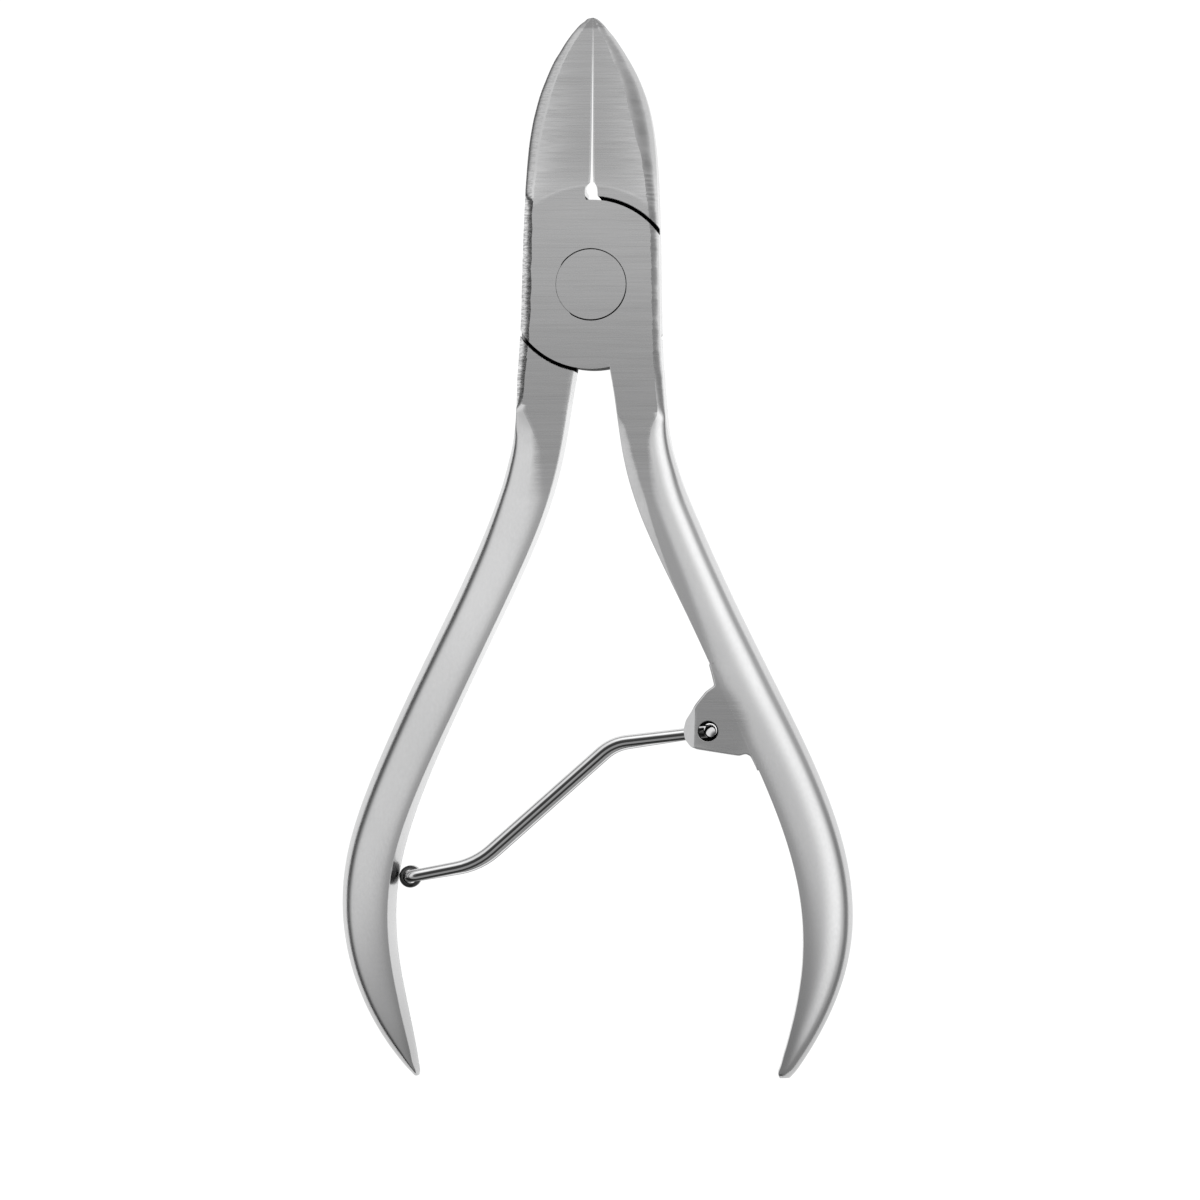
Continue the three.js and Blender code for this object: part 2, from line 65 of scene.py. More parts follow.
ROUND_RIGHT = [[-4.0, 0.75, 0.78, 0.78], [-10.5, 0.8, 0.7, 0.75], [-12.1, 0.72, 0.62, 0.75], [-12.9, 0.78, 0.55, 0.7], [-13.35, 1.12, 0.62, 0.35], [-14.15, 1.6, 0.95, 0.22], [-14.95, 1.92, 1.16, 0.18], [-15.75, 2.15, 1.28, 0.16], [-16.5, 2.32, 1.38, 0.15], [-17.3, 2.48, 1.46, 0.13], [-18.3, 2.74, 1.55, 0.1], [-19.6, 3.08, 1.78, 0.05], [-21.3, 3.5, 2.0, 0.0], [-25.2, 3.7, 2.12, 0.0], [-29.2, 4.0, 2.2, 0.0], [-33.2, 4.5, 2.35, 0.0], [-37.2, 5.3, 2.45, 0.0], [-40.0, 9.0, 2.5, 0.0], [-63.0, 9.0, 2.22, 0.0], [-70.0, 9.0, 1.8, 0.0], [-75.0, 9.0, 1.5, 0.0], [-80.0, 9.0, 1.2, 0.0]]
# y, plan width of the inner side, y-dependent width and drop of the soft facet beside it
INNER_LEFT = [[-4.0, 0.06, 0.0, 0.0], [-20.0, 0.07, 0.0, 0.0], [-33.0, 0.1, 0.0, 0.0], [-42.0, 0.2, 0.0, 0.0], [-50.0, 0.42, 0.0, 0.0], [-56.0, 0.58, 0.0, 0.0], [-72.0, 0.62, 0.0, 0.0], [-77.0, 0.45, 0.0, 0.0], [-78.6, 0.2, 0.0, 0.0]]
INNER_RIGHT = [[-4.0, 0.06, 0.0, 0.0], [-13.0, 0.07, 0.02, 0.0], [-13.9, 0.08, 0.55, 0.07], [-15.7, 0.09, 0.82, 0.12], [-18.3, 0.1, 1.0, 0.15], [-21.3, 0.11, 1.05, 0.155], [-25.2, 0.12, 0.6, 0.085], [-29.2, 0.13, 0.12, 0.012], [-31.0, 0.13, 0.0, 0.0], [-38.0, 0.13, 0.0, 0.0], [-50.0, 0.13, 0.0, 0.0], [-72.0, 0.14, 0.0, 0.0], [-78.6, 0.12, 0.0, 0.0]]
# blade and joint: y, width and drop of the outer edge's rounding, its starting slope share
EDGE_LEFT = [[26.5, 0.3, 0.14, 0.7], [25.4, 0.75, 0.33, 0.72], [22.0, 0.95, 0.44, 0.72], [17.0, 1.1, 0.52, 0.7], [12.5, 0.9, 0.44, 0.7], [9.3, 0.75, 0.38, 0.7], [8.7, 0.72, 0.5, 0.7], [8.2, 0.85, 0.85, 0.75], [2.0, 1.0, 1.05, 0.75], [-4.0, 1.0, 1.05, 0.75], [-11.0, 0.75, 0.72, 0.75]]
EDGE_RIGHT = [[26.5, 0.3, 0.25, 0.6], [25.2, 0.9, 0.8, 0.6], [22.0, 1.6, 1.4, 0.6], [18.0, 1.95, 1.75, 0.62], [15.0, 1.8, 1.6, 0.62], [12.4, 1.35, 1.25, 0.64], [8.0, 0.98, 0.95, 0.7], [5.0, 0.78, 0.8, 0.76], [-4.0, 0.72, 0.76, 0.78], [-11.0, 0.8, 0.72, 0.75]]


# ------------------------------------------------------------------ maths
def spline(table, col=1):
    """natural cubic spline through (table[:,0], table[:,col]); returns a function"""
    a = np.array(table, float)
    a = a[np.argsort(a[:, 0])]
    x, y = a[:, 0], a[:, col]
    n = len(x)
    h = np.diff(x)
    m = np.zeros((n, n))
    r = np.zeros(n)
    m[0, 0] = m[-1, -1] = 1
    for i in range(1, n - 1):
        m[i, i - 1], m[i, i], m[i, i + 1] = h[i - 1], 2 * (h[i - 1] + h[i]), h[i]
        r[i] = 6 * ((y[i + 1] - y[i]) / h[i] - (y[i] - y[i - 1]) / h[i - 1])
    c = np.linalg.solve(m, r)

    def f(q):
        q = np.clip(q, x[0], x[-1])
        i = int(np.clip(np.searchsorted(x, q) - 1, 0, n - 2))
        t, u, hh = q - x[i], x[i + 1] - q, h[i]
        return (c[i] * u ** 3 + c[i + 1] * t ** 3) / (6 * hh) + (y[i] / hh - c[i] * hh / 6) * u + (y[i + 1] / hh - c[i + 1] * hh / 6) * t
    return f


def smooth(table):
    """smoothstep-free piecewise-linear table with a small blur, one function per column"""
    a = np.array(table, float)
    a = a[np.argsort(a[:, 0])]

    def f(q, blur=0.35):
        w = np.array([0.1, 0.2, 0.4, 0.2, 0.1])
        out = 0
        for k, d in zip(w, (-blur, -blur / 2, 0, blur / 2, blur)):
            out = out + k * np.array([np.interp(q + d, a[:, 0], a[:, j]) for j in range(1, a.shape[1])])
        return out
    return f


def drop(u, s):
    """shape of a rounding: 0 at its start, 1 at its outer end; s is the share that is a straight slope"""
    return s * u + (1 - s) * (1 - math.sqrt(max(0.0, 1 - u * u)))


# ------------------------------------------------------------------ mesh helpers
def make(name, verts, faces):
    me = bpy.data.meshes.new(name)
    me.from_pydata([tuple(v) for v in np.asarray(verts, float) * MM], [], faces)
    me.validate()
    ob = bpy.data.objects.new(name, me)
    bpy.context.scene.collection.objects.link(ob)
    bm = bmesh.new()
    bm.from_mesh(me)
    bmesh.ops.recalc_face_normals(bm, faces=bm.faces)
    bm.to_mesh(me)
    bm.free()
    return ob


def loft(name, rings):
    n, rows = len(rings[0]), len(rings)
    verts = np.concatenate(rings)
    faces = []
    for r in range(rows - 1):
        a, b = r * n, (r + 1) * n
        for i in range(n):
            j = (i + 1) % n
            faces.append((a + i, a + j, b + j, b + i))
    faces.append(tuple(range(n)))
    faces.append(tuple(reversed(range((rows - 1) * n, rows * n))))
    return make(name, verts, faces)


def lathe(name, profile, segments=160, x=0.0, y=0.0):
    """closed solid about a line along Z; profile of (r, z) from the axis to the axis, or a closed loop when it has no r = 0"""
    onaxis = profile[0][0] == 0
    verts, faces, rows = [], [], []
    for r, z in profile:
        if r == 0:
            rows.append([len(verts)])
            verts.append((x, y, z))
        else:
            rows.append(list(range(len(verts), len(verts) + segments)))
            for i in range(segments):
                a = 2 * math.pi * i / segments
                verts.append((x + r * math.cos(a), y + r * math.sin(a), z))
    pairs = list(zip(rows, rows[1:]))
    if not onaxis:
        pairs.append((rows[-1], rows[0]))
    for p, q in pairs:
        for i in range(segments):
            j = (i + 1) % segments
            if len(p) == 1:
                faces.append((p[0], q[j], q[i]))
            elif len(q) == 1:
                faces.append((p[i], p[j], q[0]))
            else:
                faces.append((p[i], p[j], q[j], q[i]))
    return make(name, verts, faces)


def prism(name, pts, z0, z1):
    n = len(pts)
    verts = [(x, y, z0) for x, y in pts] + [(x, y, z1) for x, y in pts]
    faces = [tuple(reversed(range(n))), tuple(range(n, 2 * n))]
    faces += [(i, (i + 1) % n, n + (i + 1) % n, n + i) for i in range(n)]
    return make(name, verts, faces)


def prism_y(name, pts, y0, y1):
    n = len(pts)
    verts = [(x, y0, z) for x, z in pts] + [(x, y1, z) for x, z in pts]
    faces = [tuple(reversed(range(n))), tuple(range(n, 2 * n))]
    faces += [(i, (i + 1) % n, n + (i + 1) % n, n + i) for i in range(n)]
    return make(name, verts, faces)


def boolean(a, b, op):
    bpy.context.view_layer.update()
    mod = a.modifiers.new("bool", "BOOLEAN")
    mod.operation = op
    mod.solver = "MANIFOLD"
    mod.object = b
    dg = bpy.context.evaluated_depsgraph_get()
    me = bpy.data.meshes.new_from_object(a.evaluated_get(dg))
    old = a.data
    a.modifiers.clear()
    a.data = me
    bpy.data.meshes.remove(old)
    me2 = b.data
    bpy.data.objects.remove(b)
    bpy.data.meshes.remove(me2)
    if len(a.data.polygons) == 0:
        raise RuntimeError("empty boolean on " + a.name)
    return a


def cut(a, b):
    return boolean(a, b, "DIFFERENCE")


def join(a, b):
    return boolean(a, b, "UNION")


# ------------------------------------------------------------------ sections
N_OUT, N_FLAT, N_SOFT, N_EDGE, N_WALL = 22, 9, 6, 4, 5


def half_section(w, h, f, d, s, f_in, soft_w, soft_d, wall_n=N_WALL):
    """top half of a handle's section from the outer mid-plane point to the inner one: (distance from the outer edge, z over the mid-plane)"""
    edge_r = 0.07
    top_in = w - f_in
    f = min(f, top_in - 0.05)
    d = min(d, h - 0.02)
    out = [(0.0, 0.0), (0.0, 0.45 * (h - d))]
    for i in range(N_OUT + 1):
        a = i / N_OUT * math.pi / 2
        u = math.cos(a)
        out.append((f * (1 - u), h - d * drop(u, s)))
    flat_end = top_in - edge_r
    soft_w = min(soft_w, max(0.0, flat_end - f - 0.02))
    for i in range(1, N_FLAT + 1):
        out.append((f + (flat_end - soft_w - f) * i / N_FLAT, h))
    for i in range(1, N_SOFT + 1):
        t = i / N_SOFT
        out.append((flat_end - soft_w * (1 - t), h - soft_d * t ** 1.15))
    zt = h - soft_d
    ang = math.atan2(zt, f_in)
    for i in range(1, N_EDGE + 1):
        t = i / N_EDGE
        out.append((flat_end + edge_r * math.sin(ang * t), zt - edge_r * (1 - math.cos(ang * t))))
    x0, z0 = out[-1]
    for i in range(1, wall_n + 1):
        t = i / wall_n
        bulge = 0.18 * f_in * math.sin(math.pi * t)
        out.append((x0 + (w - x0) * t + bulge * 0.6, z0 * (1 - t)))
    return out


def mirror_ring(half, xo, sign, y, mid=MID):
    """full ring from a top half: sign is +1 when inner lies towards +X"""
    pts = [(xo + sign * u, y, mid + z) for u, z in half]
    low = [(xo + sign * u, y, mid - z) for u, z in half[1:-1]]
    return np.array(pts + low[::-1])


def block_reach(y):
    return min(3.0, math.sqrt(max(0.02, 8.33 ** 2 - y * y)))


def ragged(y, side):
    """a hand-ground edge wanders a little"""
    k = 1.7 if side < 0 else 0.0
    return 0.5 * math.sin(2.3 * y + k) + 0.3 * math.sin(6.1 * y + 2 * k) + 0.45 * math.sin(13.7 * y + 1.0 + k) + 0.4 * math.sin(23.0 * y + k)


def handle_rows(start, end_y):
    ys = list(np.arange(start, -11.4, -0.3)) + list(np.arange(-11.6, -20.0, -0.1)) + list(np.arange(-20.0, -34.0, -0.3)) + list(np.arange(-34.0, -70.0, -0.45)) + list(np.arange(-70.0, end_y + 0.9, -0.25))
    t = np.linspace(0, 1, 14)
    y0 = ys[-1]
    ys += list(y0 + (end_y - y0) * np.sin(t[1:] * math.pi / 2))
    return ys


def handle(name, side):
    """side -1: left handle, +1: right handle; with its half of the joint's side up to y = 8.4"""
    table = HANDLE_LEFT if side < 0 else HANDLE_RIGHT
    sides = BLADE_LEFT if side < 0 else BLADE_RIGHT
    fo, fi = spline([[y, xo] for y, xo, xi in table]), spline([[y, xi] for y, xo, xi in table])
    fs = spline([[y, x] for x, y in sides if y < 12])
    half, rnd, inn = spline(HALF), smooth(ROUND_LEFT if side < 0 else ROUND_RIGHT), smooth(INNER_LEFT if side < 0 else INNER_RIGHT)
    edge = smooth(EDGE_LEFT if side < 0 else EDGE_RIGHT)
    end_y = table[-1][0]
    rings = []
    seam = -9.2
    # joint part
    for y in np.arange(8.4, -7.65, -0.2):
        f, d, s = edge(y)
        f = f + ragged(y, side) * 0.06
        xo = fs(y)
        xi = -side * (3.0 if y > 0 else block_reach(y))
        sec = half_section(abs(xi - xo), MID, f, d, s, 0.02, 0, 0)
        rings.append(mirror_ring(sec, xo, -side, y))
    for y in handle_rows(-7.9, end_y):
        wt = np.clip((y + 9.6) / 1.6, 0, 1)
        wt = wt * wt * (3 - 2 * wt)
        xo = fs(y) * wt + fo(y) * (1 - wt) if y > -9.7 else fo(y)
        xi = fi(y) if y < -9.7 else fi(-9.78) + (y + 9.78) * (fi(-9.78) - fi(-10.97)) / 1.19
        f, d, s = rnd(y)
        e = edge(max(y, -11))
        f, d, s = (f, d, s) if y < -9.6 else (e[0] * wt + f * (1 - wt), e[1] * wt + d * (1 - wt), e[2])
        h = half(y)
        fin, sw, sd = inn(y)
        w = abs(xi - xo)
        k = 1.0
        over = (y - (end_y + 0.9)) / -0.9
        if over > 0:
            k = math.sqrt(max(0.0, 1 - (over * 0.93) ** 2))
            h = h * (0.45 + 0.55 * k)
        d = min(d, h * 0.97)
        fin = min(fin, w * 0.3)
        sec = half_section(w, h, f, d, s, fin, sw, sd)
        rings.append(mirror_ring(sec, xo, -side, y))
    return loft(name, rings)


FRONT_SLOPE, FRONT_Y, FRONT_R = math.tan(math.radians(2.4)), 6.6, 9.75
BACK_SLOPE, BACK_Y = math.tan(math.radians(4.6)), 9.9
HOLLOW = [(0.06, 0), (0.42, -0.3), (0.95, -0.8), (1.6, -1.55), (2.25, -2.5), (2.85, -3.7), (3.3, -5.0), (3.7, -7.5)]


def step01(v):
    v = min(1.0, max(0.0, v))
    return v * v * (3 - 2 * v)


def front_z(x, y):
    if y <= 0:
        return T
    r = math.hypot(x, y)
    t = r - FRONT_R
    fall = FRONT_SLOPE * (0 if t < -0.2 else (t + 0.2) ** 2 / 0.8 if t < 0.2 else t)
    crown = 0.3 * (abs(x - 0.1) / 6.5) ** 2.2 * step01(t / 6.0)
    return T - 0.01 * step01((t + 0.03) / 0.08) - fall - crown


def back_z(y):
    t = max(0.0, y - BACK_Y + 0.3)
    return BACK_SLOPE * (t * t / 1.2 if t < 0.6 else t - 0.3)


def blade(name, side):
    """side -1: left blade, +1: right blade; rows from the joint up to the tip"""
    table = BLADE_LEFT if side < 0 else BLADE_RIGHT
    upper = spline([[y, x] for x, y in table])
    edge = smooth(EDGE_LEFT if side < 0 else EDGE_RIGHT)
    half_gap = smooth([[8.0, 0.17], [9.9, 0.17], [10.8, 0.11], [12.4, 0.075], [16.4, 0.05], [20.4, 0.03], [23.0, 0.015], [26.5, 0.01]])
    ys = [-8.4, -7.5, -6.5, -5.5, -4.5, -3.5, -2.5, -1.5, -0.5, 0.5, 1.5, 2.5, 3.5, 4.5, 5.5, 6.5] + list(np.arange(7.0, 8.34, 0.2)) + [8.34, 8.36] + list(np.arange(8.5, 11.0, 0.1)) + list(np.arange(11.0, 22.0, 0.25)) + list(np.arange(22.0, 25.6, 0.15)) + list(np.arange(25.6, 26.38, 0.04)) + [26.395, 26.4]
    rings = []
    for y in ys:
        block = y < 8.35
        xo = upper(y)
        xs = -side * (3.0 if y < 0 else block_reach(y)) if block else 0.1 + 0.1 * (y - 10) / (TIP_Y - 10) + side * half_gap(y, 0.1)[0]
        sg = -side
        w = abs(xs - xo)
        f, d, s = edge(y)
        f = f + ragged(y, side) * (0.06 if y < 9 else 0.035)
        f = min(f, w * 0.7)
        zb = back_z(y)
        fz = lambda u: front_z(xo + sg * u, y)
        thick = fz(f) - zb
        dd = min(d, thick * 0.4)
        pts = []
        mid = (fz(0) + zb) / 2
        pts.append((0.0, mid))
        for i in range(15):
            a = i / 14 * math.pi / 2
            u = math.cos(a)
            pts.append((f * (1 - u), fz(f * (1 - u)) - dd * drop(u, s)))
        nt = 26
        for i in range(1, nt + 1):
            u = f + (w - 0.03 - f) * i / nt
            pts.append((u, fz(u)))
        zt = fz(w)
        pts.append((w - 0.009, zt - 0.009))
        pts.append((w, zt - 0.03))
        land = zt - LAND
        if block:
            side_pts = [(w, zt - 0.03 + (zb - zt + 0.06) * t) for t in np.linspace(0.12, 1.0, 17)]
            end_u = w
        else:
            side_pts = []
            hx = np.array([p[0] for p in HOLLOW])
            hz = np.array([p[1] for p in HOLLOW])
            # depth at which the grind meets the back face, or the outer edge
            depth_max = land - zb
            zs = -np.linspace(0, 1, 17) ** 1.0 * depth_max
            centre = 0.12
            for zz in zs:
                half_w = np.interp(-zz, -hz, hx)
                # fade the grind in along y with a smoothstep from y = 8.7 over 2.6 mm
                half_w *= step01((y - 8.7) / 2.6)
                u = w - max(0.0, half_w + (centre - xs) * (1 if side < 0 else -1) * 1.0)
                u = min(u, w)
                u = max(u, 0.35)
                side_pts.append((u, land + zz))
            end_u = side_pts[-1][0]
        pts += side_pts
        fb = min(f, max(0.05, end_u - 0.05), 0.5)
        db = min(dd, 0.4)
        for i in range(1, 7):
            u = end_u + (fb - end_u) * i / 6
            pts.append((u, zb))
        for i in range(1, 9):
            a = i / 8 * math.pi / 2
            u = math.sin(a)
            pts.append((fb * (1 - u), zb + db * (1 - math.cos(a))))
        rings.append(np.array([(xo + sg * u, y, z) for u, z in pts]))
    return loft(name, rings)


def notch_cutter():
    pts = [(0.93, 8.36), (0.68, 8.78), (0.67, 9.2), (0.64, 9.5), (0.5, 9.82), (0.36, 10.06), (-0.02, 10.06), (-0.3, 9.86), (-0.54, 9.6), (-0.6, 9.3), (-0.58, 8.7), (-0.5, 8.36)]
    return prism("notch", pts, -1, T + 1)


def disc(name, r, z0, z1, segments=256, x=0.0, y=0.0, flare_top=0.0, flare_bottom=0.0):
    prof = [(0, z0)]
    prof += [(r + flare_bottom, z0), (r, z0 + abs(flare_bottom))] if flare_bottom else [(r, z0)]
    prof += [(r, z1 - abs(flare_top)), (r + flare_top, z1)] if flare_top else [(r, z1)]
    return lathe(name, prof + [(0, z1)], segments, x, y)


def outside_of_disc(upper, z0, z1, chamfer_z, chamfer=0.05):
    """the half-plane block (upper or lower half of the joint) with the lap disc left out of it"""
    sgn = 1 if upper else -1
    seg = 200
    pts = [(LAP_R * math.cos(a), sgn * LAP_R * math.sin(a)) for a in np.linspace(0, math.pi, seg)]
    outline = [(12, 0), (12, sgn * 12), (-12, sgn * 12), (-12, 0)] + [(x, y) for x, y in pts[::-1]]
    return prism("outside", outline, z0, z1)


def shoulder_cutter(z_from, z_to, flare_at):
    """clearance for the other lever's lap disc, with its mouth slightly chamfered at the outer face"""
    c = 0.05
    if flare_at == "top":
        prof = [(0, z_from), (SHOULDER_R, z_from), (SHOULDER_R, T - c), (SHOULDER_R + c, T + 0.0001), (SHOULDER_R + c, z_to), (0, z_to)]
    else:
        prof = [(0, z_from), (SHOULDER_R + c, z_from), (SHOULDER_R + c, -0.0001), (SHOULDER_R, c), (SHOULDER_R, z_to), (0, z_to)]
    return lathe("shoulder", prof, 256)


# ------------------------------------------------------------------ lug
LUG = [(12.2, -37.2), (11.62, -37.45), (11.93, -38.6), (12.17, -39.62), (11.35, -40.21), (10.36, -41.43), (9.8, -42.43), (9.37, -43.09), (9.14, -44.08), (9.3, -44.97), (9.9, -45.74), (10.5, -45.97), (12.12, -46.23), (13.86, -46.5), (14.65, -46.61), (15.3, -46.42), (15.75, -46.62), (16.2, -47.5), (16.75, -48.2), (14.8, -43.6), (13.0, -39.7)]


def rounded_outline(corners, radii, n=6):
    out = []
    m = len(corners)
    for i in range(m):
        p0, p, p1 = (np.array(corners[(i + k) % m], float) for k in (-1, 0, 1))
        a, b = p0 - p, p1 - p
        la, lb = np.linalg.norm(a), np.linalg.norm(b)
        a, b = a / la, b / lb
        turn = math.pi - math.acos(np.clip(np.dot(a, b), -1, 1))
        r = radii[i]
        sb = min(r * math.tan(turn / 2), 0.45 * la, 0.45 * lb)
        if sb < 1e-3:
            out.append(tuple(p))
            continue
        for t in np.linspace(0, 1, n):
            q = (1 - t) ** 2 * (p + a * sb) + 2 * t * (1 - t) * p + t * t * (p + b * sb)
            out.append(tuple(q))
    return out


def lug():
    radii = [0.1, 0.5, 1.5, 0.22, 1.5, 2, 2, 1.5, 1.2, 1.0, 0.8, 1.2, 3, 3, 0.6, 0.5, 0.6, 0.3, 0.1, 1.0, 1.0]
    half = spline(HALF)
    pts = np.array(rounded_outline(LUG, radii))
    n = len(pts)
    nxt, prv = np.roll(pts, -1, 0), np.roll(pts, 1, 0)
    tan = nxt - prv
    tan /= np.linalg.norm(tan, axis=1)[:, None]
    area = 0.5 * np.sum(pts[:, 0] * nxt[:, 1] - nxt[:, 0] * pts[:, 1])
    inward = np.stack([-tan[:, 1], tan[:, 0]], 1) * (1 if area > 0 else -1)
    hz = np.array([half(y) for x, y in pts]) - 0.005
    prof = [(0.2, 0.0), (0.165, 0.008), (0.095, 0.045), (0.035, 0.1), (0.008, 0.16), (0.0, 0.22)]
    rings = []
    for ins, dz in prof:
        rings.append(np.column_stack([pts + inward * ins, MID + hz - dz]))
    for ins, dz in prof[::-1]:
        rings.append(np.column_stack([pts + inward * ins, MID - hz + dz]))
    return loft("lug", rings)


def rivet_seat():
    """the front counterbore: ground flush, so the line round the rivet is open in places and closed in others"""
    n = 256
    rings = []
    for z, extra in ((T - RIVET_H - 0.05, 0.0), (T - 0.025, 0.0), (T, 0.03), (T + 1, 0.03)):
        row = []
        for i in range(n):
            deg = 360.0 * i / n
            gap = 0.004 + float(np.interp(deg, [0, 40, 90, 140, 150, 232, 238, 270, 310, 340, 360], [0.03, 0.035, 0.06, 0.06, 0.0, 0.0, 0.09, 0.1, 0.1, 0.07, 0.03]))
            open_ = 1.0 if gap > 0.01 else 0.0
            r = RIVET_R + gap + extra * open_
            row.append((r * math.cos(math.radians(deg)), r * math.sin(math.radians(deg)), z))
        rings.append(np.array(row))
    return loft("seat", rings)


# ------------------------------------------------------------------ levers
def lever_front():
    a = blade("blade_l", -1)
    a = cut(a, outside_of_disc(False, -1, T + 1, 0))
    a = cut(a, notch_cutter())
    b = handle("handle_r", 1)
    b = cut(b, outside_of_disc(True, -1, T + 1, 0))
    a = join(a, b)
    a = cut(a, shoulder_cutter(-1, STEM_FRONT, "bottom"))
    a = join(a, lug())
    slot = prism("slot", [(8, -50), (12.9, -50), (12.9, -37), (8, -37)], MID - 1.35, MID + 1.35)
    a = cut(a, slot)
    top = MID + 2.69
    for flip in (1, -1):
        wedge = prism_y("wedge", [(10.3, MID + flip * 2.7), (8.7, MID + flip * 2.14), (8.7, MID + flip * 4), (10.3, MID + flip * 4)], -47.5, -40.4)
        a = cut(a, wedge)
    c = 0.06
    hole = lathe("hole", [(0, -1), (0.7, -1), (0.7, MID - 1.0), (1.0, MID + 1.0), (1.0, top - c), (1.0 + c, top), (1.0 + c + 0.5, top + 0.5), (0, T + 1)], 96, *LUG_HOLE)
    a = cut(a, hole)
    a = cut(a, disc("shank", RIVET_SHANK + 0.05, -1, T + 1, 128))
    a = cut(a, rivet_seat())
    a.name = "lever_front_fine"
    return a


def lever_back():
    a = blade("blade_r", 1)
    a = cut(a, outside_of_disc(False, -1, T + 1, 0))
    a = cut(a, notch_cutter())
    b = handle("handle_l", -1)
    b = cut(b, outside_of_disc(True, -1, T + 1, 0))
    a = join(a, b)
    a = cut(a, shoulder_cutter(STEM_BACK, T + 1, "top"))
    a = cut(a, disc("shank", RIVET_SHANK + 0.05, -1, T + 1, 128))
    a = cut(a, lathe("cb", [(0, -1), (RIVET_R + 0.07, -1), (RIVET_R + 0.07, 0), (RIVET_R + 0.05, 0.02), (RIVET_R + 0.05, RIVET_H + 0.05), (0, RIVET_H + 0.05)], 256))
    a.name = "lever_back_fine"
    return a


def rivet():
    r, h, s, e = RIVET_R, RIVET_H, RIVET_SHANK, 0.03
    prof = [(0, 0), (r - e, 0), (r, e), (r, h), (s, h), (s, T - h), (r, T - h), (r, T - e), (r - e, T), (0, T)]
    return lathe("pivot_rivet_fine", prof, 192)


# ------------------------------------------------------------------ wire and roller
def wire_stations():
    hx, hy = LUG_HOLE
    bends = [(2.01, -45.41, 4.5), (-11.52, -57.41, 7.4)]
    end = ROLLER
    path = [(hx, hy)] + [(x, y) for x, y, r in bends] + [end]
    seg = [math.dist(p, q) for p, q in zip(path, path[1:])]
    total = sum(seg)
    z = [0.65]
    for s in seg:
        z.append(z[-1] + (1.8 - 0.65) * s / total)
    top = [(hx + 0.22, hy - 0.03, 2.08, 0), (hx + 0.14, hy - 0.02, 0.65, 0.68)] + [(x - 0.04, y + 0.09, z[i + 1], r) for i, (x, y, r) in enumerate(bends)] + [(end[0] - 0.02, end[1] + 0.06, 1.8, 0.8)]
    low = [(hx, hy, 2.05, 0), (hx, hy, 0.65, 0.68)] + [(x + 0.12, y - 0.23, z[i + 1], r) for i, (x, y, r) in enumerate(bends)] + [(end[0] + 0.02, end[1] - 0.06, 1.8, 0.8)]
    corners = top + [(x, y, -zz, r) for x, y, zz, r in low[::-1]]
    v = [np.array([x, y, MID + zz]) for x, y, zz, r in corners]
    rad = [r for *_, r in corners]
    out = []

    def unit(q):
        return q / np.linalg.norm(q)
    out.append((v[0], unit(v[1] - v[0])))
    for i in range(1, len(v) - 1):
        a, b = unit(v[i - 1] - v[i]), unit(v[i + 1] - v[i])
        turn = math.pi - math.acos(np.clip(np.dot(a, b), -1, 1))
        r = rad[i]
        sb = r * math.tan(turn / 2)
        p0 = v[i] + a * sb
        centre = v[i] + unit(a + b) * r / math.cos(turn / 2)
        axis = Vector(unit(np.cross(-a, b)))
        steps = max(6, math.ceil(turn / 0.11))
        from mathutils import Quaternion
        prev = out[-1][0]
        d = np.linalg.norm(p0 - prev)
        for k in range(1, int(d / 0.6) + 1):
            t = k / (int(d / 0.6) + 1)
            out.append((prev + (p0 - prev) * t, -a))
        for j in range(steps + 1):
            q = Quaternion(axis, turn * j / steps)
            out.append((centre + np.array(q @ Vector(p0 - centre)), np.array(q @ Vector(-a))))
    out.append((v[-1], unit(v[-1] - v[-2])))
    return out


def wire():
    st = wire_stations()
    n = 28
    rings = []
    nrm = np.array([1.0, 0, 0])
    count = len(st)

    def ring(p, d, nrm, r):
        b = np.cross(d, nrm)
        return np.array([p + r * (math.cos(t) * nrm + math.sin(t) * b) for t in np.linspace(0, 2 * math.pi, n, endpoint=False)])
    for i, (p, d) in enumerate(st):
        nrm = nrm - d * np.dot(nrm, d)
        nrm = nrm / np.linalg.norm(nrm)
        if i == 0:
            for off, less in ((0.0, 0.14), (0.03, 0.05), (0.10, 0.0)):
                row = ring(p + d * off, d, nrm, WIRE_R - less)
                row[:, 2] += 0.4 * ((row[:, 0] - p[0]) * 0.8 - (row[:, 1] - p[1]) * 0.6) - 0.06
                rings.append(row)
        elif i == count - 1:
            rings.append(ring(p - d * 0.10, d, nrm, WIRE_R))
            rings.append(ring(p - d * 0.03, d, nrm, WIRE_R - 0.05))
            rings.append(ring(p, d, nrm, WIRE_R - 0.14))
        else:
            rings.append(ring(p, d, nrm, WIRE_R))
    return loft("spring_wire_fine", rings)


def roller():
    r, b, h = 1.1, 0.675, 0.95
    prof = []
    half_prof = [(r, 0.4 * h), (r, h - 0.36), (r - 0.012, h - 0.3), (r - 0.05, h - 0.25), (r - 0.2, h - 0.12), (r - 0.31, h - 0.025), (r - 0.35, h - 0.003), (b + 0.05, h), (b + 0.015, h - 0.015), (b, h - 0.05)]
    prof = [(rr, -zz) for rr, zz in half_prof[::-1]] + half_prof
    prof = [(rr, MID + zz) for rr, zz in prof]
    return lathe("spring_roller_fine", prof, 96, *ROLLER)


# ------------------------------------------------------------------ materials
def nodes_of(mat):
    mat.use_nodes = True
    nt = mat.node_tree
    nt.nodes.clear()
    out = nt.nodes.new("ShaderNodeOutputMaterial")
    bs = nt.nodes.new("ShaderNodeBsdfPrincipled")
    nt.links.new(bs.outputs[0], out.inputs[0])
    return nt, bs


